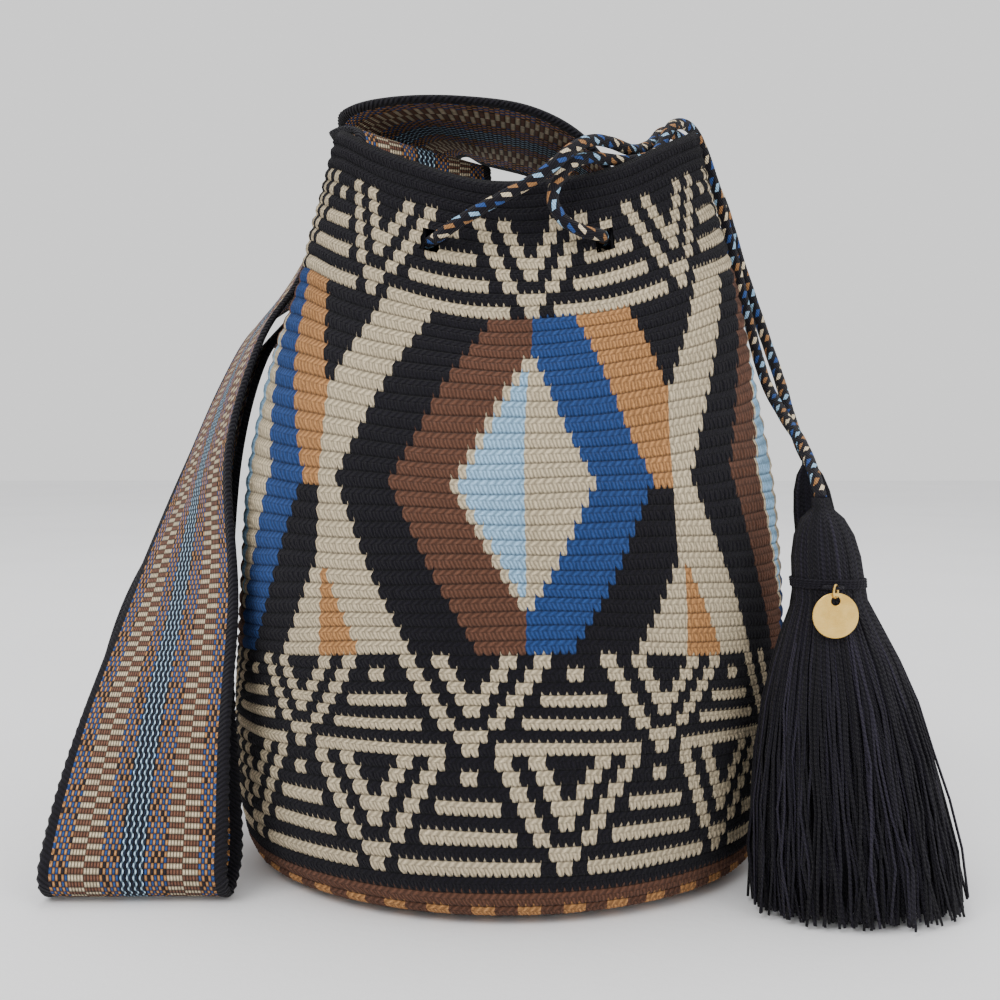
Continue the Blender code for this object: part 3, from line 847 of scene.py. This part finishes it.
def build_strap(material, thickness):
    steps = 24
    centres = spline_points([c for c, _ in STRAP_ROUTE], steps)
    widths = unit(spline_points([unit(np.array(w, float)) for _, w in STRAP_ROUTE], steps))
    centres, widths = evenly(centres, STRAP_ROW, widths)
    widths = unit(widths)
    along = unit(np.gradient(centres, axis=0))
    normals = unit(np.cross(along, widths))
    rows = len(centres) - 1
    across = np.linspace(-0.5, 0.5, STRAP_CELLS + 1)
    points = []
    for k, (centre, width, normal) in enumerate(zip(centres, widths, normals)):
        scallop = 0.35 * math.cos(math.pi * k)
        spread = across * STRAP_WIDTH + np.sign(across) * (np.abs(across) > 0.49) * scallop
        inwards = (0.5 - np.abs(across)) * STRAP_WIDTH
        edge = np.clip(inwards / STRAP_ROUNDING, 0.0, 1.0)
        round_edge = np.sqrt(1 - (1 - edge) ** 2)
        bead = 0.30 * np.exp(-((inwards - STRAP_BEAD) / STRAP_ROUNDING) ** 2)
        half = (thickness / MM / 2 * round_edge + bead) * 0.92
        ripple = 0.35 * math.sin(k * 0.21) * np.sin(across * 7)
        top = centre + spread[:, None] * width + (half + ripple)[:, None] * normal
        bottom = centre + spread[:, None] * width - (half - ripple)[:, None] * normal
        points.append(np.vstack([top, bottom[::-1][1:-1]]))
    ring = points[0].shape[0]
    points = np.array(points)
    points[..., 2] = np.maximum(points[..., 2], 0.15)
    yarn = strap_yarns(rows)
    faces, uvs, colours = [], [], []
    cell = list(range(STRAP_CELLS)) + list(reversed(range(STRAP_CELLS)))
    for k in range(rows):
        low, high = k * ring, (k + 1) * ring
        for c in range(ring):
            d = (c + 1) % ring
            faces.append((low + c, high + c, high + d, low + d))
            if c < STRAP_CELLS:
                u0, u1 = c, c + 1
            else:
                u0, u1 = 2 * STRAP_CELLS - c, 2 * STRAP_CELLS - c - 1
            uvs += [(u0, k), (u0, k + 1), (u1, k + 1), (u1, k)]
            colours.append(yarn[k, cell[c]])
    faces.append(tuple(range(ring)))
    faces.append(tuple(rows * ring + c for c in reversed(range(ring))))
    uvs += [(1.0, 0.5)] * (2 * ring)
    colours += [yarn[0, 0], yarn[0, 0]]
    obj = new_object("woven_shoulder_strap", points.reshape(-1, 3) * MM, faces, material)
    corner_uvs(obj.data, "weave", uvs)
    corner_colours(obj.data, "yarn", np.array(colours))
    length = rows * STRAP_ROW * MM
    return obj, length


# ---------------------------------------------------------------- the cord
def build_cord(material, diameter):
    step = 1.15
    path, = evenly(spline_points(CORD_ROUTE, 16), step)
    sides, strands, pitch = 24, 8, 30.0
    run = np.arange(len(path)) * step
    turn = run / pitch * 2 * math.pi
    radius = diameter / MM / 2

    def lobes(i, angles):
        over = np.cos(angles * strands / 2 + math.pi / 4 * i)
        return radius * (0.86 + 0.12 * np.abs(over))

    rings = tube(path, lobes, sides, turn)
    faces = ring_faces(len(path), sides)
    yarns = bpy.context.scene.mochila_yarns
    black, brown = np.array(yarns.black), np.array(yarns.tan) * 0.75
    sky, cream, blue = np.array(yarns.sky), np.array(yarns.cream) * 1.25, np.array(yarns.blue) * 1.3
    order = [black, sky, black, brown, black, cream, black, blue]
    per_strand = sides // strands
    colours = []
    for i in range(len(path) - 1):
        for j in range(sides):
            k = ((j + per_strand // 2) // per_strand) % strands
            hidden = (i // 3 + k // 2) % 2 == 0
            colours.append(black if hidden else order[k])
    colours += [black, black]
    obj = new_object("braided_drawcord", rings.reshape(-1, 3) * MM, faces, material)
    corner_uvs(obj.data, "yarn_run", tube_uvs(run, sides, per_strand))
    corner_colours(obj.data, "yarn", np.array(colours))
    return obj, path * MM


# ---------------------------------------------------------------- the tassels
def tassel_point(spec, drop, angle, reach):
    """A place in a tassel: how far down, which way round, and how far out of its radius."""
    top, foot = np.array(spec["top"], float), np.array(spec["foot"], float)
    centre = top + (foot - top) * (drop / TASSEL_LENGTH)
    radius = smooth_table(drop, TASSEL_DROPS, TASSEL_RADII) * spec["scale"] * reach
    return centre + np.array([math.cos(angle) * radius, math.sin(angle) * radius * TASSEL_FLATTENING, 0.0])


def strand_path(spec, number, rng, thickness):
    """The way of one strand, from the cord's end over the head and down to the foot."""
    angle = number * GOLDEN_ANGLE + rng.normal(0.0, 0.05)
    layer = 1.0 - 0.42 * rng.random() ** 1.6
    stray = rng.random() < 0.12
    sway = rng.normal(0.0, 0.08) + (rng.normal(0.0, 0.14) if stray else 0.0)
    flare = rng.normal(0.0, 0.035) + (0.05 if stray else 0.0)
    end = TASSEL_LENGTH - 0.5 - abs(rng.normal(0.0, 2.2))
    wave = rng.random(2) * 6.3
    path = []
    for drop in STRAND_DROPS:
        drop = min(drop, end)
        low = max(0.0, (drop - HEAD_DROP) / (TASSEL_LENGTH - HEAD_DROP))
        head = 1.0 if drop > HEAD_DROP else 0.97
        reach = head * (1 - (1 - layer) * (0.25 + 0.75 * low)) + flare * low
        turned = angle + sway * low + 0.045 * math.sin(wave[0] + drop * 0.10) * low
        point = tassel_point(spec, drop, turned, reach)
        point[0] += 0.9 * math.sin(wave[1] + drop * 0.13) * low
        point[2] = max(point[2], thickness + 0.15)
        path.append(point)
    return np.array(path)


def core_points(spec, sides):
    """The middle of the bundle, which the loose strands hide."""
    points = []
    for drop in CORE_DROPS:
        for j in range(sides):
            angle = 2 * math.pi * j / sides
            reach = (0.93 if drop <= HEAD_DROP else 0.80) + 0.03 * math.cos(12 * angle)
            points.append(tassel_point(spec, drop, angle, reach))
    return np.array(points)


def build_tassel(name, spec, material, radius):
    rng = np.random.default_rng(spec["seed"])
    base = np.array(bpy.context.scene.mochila_yarns.black)
    sides, core_sides, levels = 3, 36, len(STRAND_DROPS)
    thickness = radius / MM * (1.0 if spec["scale"] > 0.9 else 0.85)
    points, faces, uvs, colours = [], [], [], []
    for number in range(spec["strands"]):
        path = strand_path(spec, number, rng, thickness)
        rings = tube(path, lambda i, a: np.full(len(a), thickness * (1.0 if i > 0 else 0.6)), sides)
        points.append(rings.reshape(-1, 3))
        faces += ring_faces(levels, sides, number * levels * sides)
        tone = base * (0.7 + 2.6 * rng.random() ** 2)
        lengths = np.linalg.norm(np.diff(path, axis=0), axis=1)
        runs = np.concatenate([[0.0], np.cumsum(lengths)]) + 40 * rng.random()
        uvs += tube_uvs(runs, sides, sides)
        colours += [tone] * ((levels - 1) * sides + 2)
    points.append(core_points(spec, core_sides))
    core_faces = ring_faces(len(CORE_DROPS), core_sides, spec["strands"] * levels * sides)
    for face in core_faces:
        faces.append(tuple(reversed(face)))
        uvs += [(0.1 * k, 0.3 * k) for k in range(len(face))]
        colours.append(base * 0.8)
    obj = new_object(name, np.vstack(points) * MM, faces, material)
    corner_uvs(obj.data, "yarn_run", uvs)
    corner_colours(obj.data, "yarn", np.array(colours))
    return obj


def neck_loop(sides, start):
    """The closed loop of yarn that holds the charm's ring: its points, faces and map."""
    a = np.linspace(0.0, 2 * math.pi, 29)[:-1]
    x, y, z = NECK_LOOP
    middle = np.stack([x + NECK_LOOP_RADIUS * np.sin(a), y - NECK_LOOP_RADIUS * np.cos(a),
                       np.full_like(a, z)], axis=1)
    out = np.stack([np.sin(a), -np.cos(a), np.zeros_like(a)], axis=1)
    circle = (np.arange(sides) / sides * 2 * math.pi)[None, :, None]
    up = np.array([0.0, 0.0, 1.0])
    rings = middle[:, None, :] + NECK_LOOP_WIRE * (np.cos(circle) * out[:, None, :] + np.sin(circle) * up)
    faces, uvs = [], []
    for i in range(len(a)):
        here, there = start + i * sides, start + (i + 1) % len(a) * sides
        for j in range(sides):
            k = (j + 1) % sides
            faces.append((here + j, there + j, there + k, here + k))
            uvs += [(j / sides, i), (j / sides, i + 1), ((j + 1) / sides, i + 1), ((j + 1) / sides, i)]
    return rings.reshape(-1, 3), faces, uvs


def build_binding(name, spec, material, turns, with_loop):
    """Yarn wound a few times round the neck of a tassel."""
    wire = 0.52 * (1.0 if spec["scale"] > 0.9 else 0.75)
    t = np.linspace(0.0, turns, 60 * turns + 1)
    drops = NECK_DROP + (t - turns / 2) * 1.15 * wire * 1.45
    angles = t * 2 * math.pi + 1.9
    path = np.array([tassel_point(spec, d, a, 1.0 + 0.45 / NECK_RADIUS) for d, a in zip(drops, angles)])
    sides = 8
    rings = tube(path, lambda i, a: np.full(len(a), wire), sides)
    faces = ring_faces(len(path), sides)
    vertices = rings.reshape(-1, 3)
    uvs = tube_uvs(np.arange(len(path)) * 1.4, sides, sides)
    if with_loop:
        loop_points, loop_faces, loop_uvs = neck_loop(sides, len(vertices))
        vertices = np.vstack([vertices, loop_points])
        faces += loop_faces
        uvs += loop_uvs
    obj = new_object(name, vertices * MM, faces, material)
    corner_uvs(obj.data, "yarn_run", uvs)
    tone = np.array(bpy.context.scene.mochila_yarns.black) * 1.2
    corner_colours(obj.data, "yarn", np.tile(tone, (len(faces), 1)))
    return obj


# ---------------------------------------------------------------- operators
class MOCHILA_OT_body(bpy.types.Operator):
    """Crochet the body of the bag with its figures and eyelets"""
    bl_idname = "mochila.body"
    bl_label = "Crocheted body"

    def execute(self, context):
        body = build_body(crochet_material())
        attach(body, "bag")
        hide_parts("bag_body")
        return {"FINISHED"}


class MOCHILA_OT_strap(bpy.types.Operator):
    """Weave the shoulder strap and lay it over the rim and down to the floor"""
    bl_idname = "mochila.strap"
    bl_label = "Shoulder strap"

    def execute(self, context):
        strap, length = build_strap(strap_material(), context.scene.mochila_sizes.strap_thickness)
        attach(strap, "bag")
        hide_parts("shoulder_strap")
        return {"FINISHED"}


class MOCHILA_OT_cord(bpy.types.Operator):
    """Braid the drawcord through the eyelets and down to the tassels"""
    bl_idname = "mochila.cord"
    bl_label = "Drawcord"

    def execute(self, context):
        diameter = context.scene.mochila_sizes.cord_diameter
        cord, path = build_cord(strand_material("braided_yarn", 0.9, 0.05), diameter)
        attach(cord, "bag")
        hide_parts("drawcord")
        return {"FINISHED"}


class MOCHILA_OT_tassels(bpy.types.Operator):
    """Bundle the tassels and wind their necks"""
    bl_idname = "mochila.tassels"
    bl_label = "Tassels"

    def execute(self, context):
        sizes = context.scene.mochila_sizes
        yarn = strand_material("tassel_yarn", 0.55, 0.03)
        for name, spec in TASSELS.items():
            tassel = build_tassel(f"{name}_yarn_tassel", spec, yarn, sizes.strand_radius)
            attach(tassel, "bag")
            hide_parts(f"{name}_tassel")
            binding = build_binding(f"{name}_neck_winding", spec, yarn, sizes.wrap_turns, name == "front")
            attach(binding, "bag")
            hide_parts(f"{name}_tassel_binding")
        return {"FINISHED"}


class MOCHILA_OT_charm(bpy.types.Operator):
    """Plate the ring and the disc"""
    bl_idname = "mochila.charm"
    bl_label = "Charm"

    def execute(self, context):
        gold = gold_material(tuple(context.scene.mochila_yarns.gold))
        for name in ("charm_ring", "charm_disc"):
            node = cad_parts[name]
            node.data.materials.clear()
            node.data.materials.append(gold)
        return {"FINISHED"}


class MOCHILA_OT_stage(bpy.types.Operator):
    """Set the floor, the soft lights and the camera"""
    bl_idname = "mochila.stage"
    bl_label = "Stage"

    def execute(self, context):
        bpy.ops.object.select_all(action="DESELECT")
        bpy.ops.mesh.primitive_plane_add(size=FLOOR_SIZE, location=(0.0, 0.0, -FLOOR_GAP))
        floor = context.object
        floor.name = "floor"
        floor.data.materials.append(floor_material())
        world = bpy.data.worlds.new("soft_room")
        world.use_nodes = True
        background = world.node_tree.nodes["Background"]
        background.inputs["Color"].default_value = (1.0, 1.0, 1.0, 1.0)
        background.inputs["Strength"].default_value = ROOM_LIGHT
        context.scene.world = world
        for name, place, size, power in LIGHTS:
            data = bpy.data.lights.new(name, "AREA")
            data.size = size
            data.energy = power
            light = bpy.data.objects.new(name, data)
            light.location = place
            aim = Vector(LIGHT_TARGET) - Vector(place)
            light.rotation_euler = aim.to_track_quat("-Z", "Y").to_euler()
            context.scene.collection.objects.link(light)
        camera_data = bpy.data.cameras.new("front_camera")
        camera_data.lens = context.scene.mochila_sizes.lens
        camera = bpy.data.objects.new("front_camera", camera_data)
        camera.location = CAMERA_PLACE
        camera.rotation_euler = (math.radians(90) - CAMERA_TILT, 0.0, 0.0)
        context.scene.collection.objects.link(camera)
        context.scene.camera = camera
        return {"FINISHED"}


class MOCHILA_PT_panel(bpy.types.Panel):
    """Sidebar panel with the steps of making the bag"""
    bl_idname = "MOCHILA_PT_panel"
    bl_label = "Mochila"
    bl_space_type = "VIEW_3D"
    bl_region_type = "UI"
    bl_category = "Mochila"

    def draw(self, context):
        for step in STEPS:
            self.layout.operator(step.bl_idname)
        for group in (context.scene.mochila_sizes, context.scene.mochila_yarns):
            box = self.layout.box()
            for name in group.bl_rna.properties.keys():
                if name not in {"rna_type", "name"}:
                    box.prop(group, name)


STEPS = (MOCHILA_OT_stage, MOCHILA_OT_body, MOCHILA_OT_strap, MOCHILA_OT_cord,
         MOCHILA_OT_tassels, MOCHILA_OT_charm)
CLASSES = (MochilaYarns, MochilaSizes, *STEPS, MOCHILA_PT_panel)


def register():
    for cls in CLASSES:
        bpy.utils.register_class(cls)
    bpy.types.Scene.mochila_yarns = PointerProperty(type=MochilaYarns)
    bpy.types.Scene.mochila_sizes = PointerProperty(type=MochilaSizes)


def unregister():
    del bpy.types.Scene.mochila_sizes
    del bpy.types.Scene.mochila_yarns
    for cls in reversed(CLASSES):
        bpy.utils.unregister_class(cls)


def main():
    register()
    bpy.ops.mochila.stage()
    bpy.ops.mochila.body()
    bpy.ops.mochila.strap()
    bpy.ops.mochila.cord()
    bpy.ops.mochila.tassels()
    bpy.ops.mochila.charm()


if __name__ == "__main__":
    main()
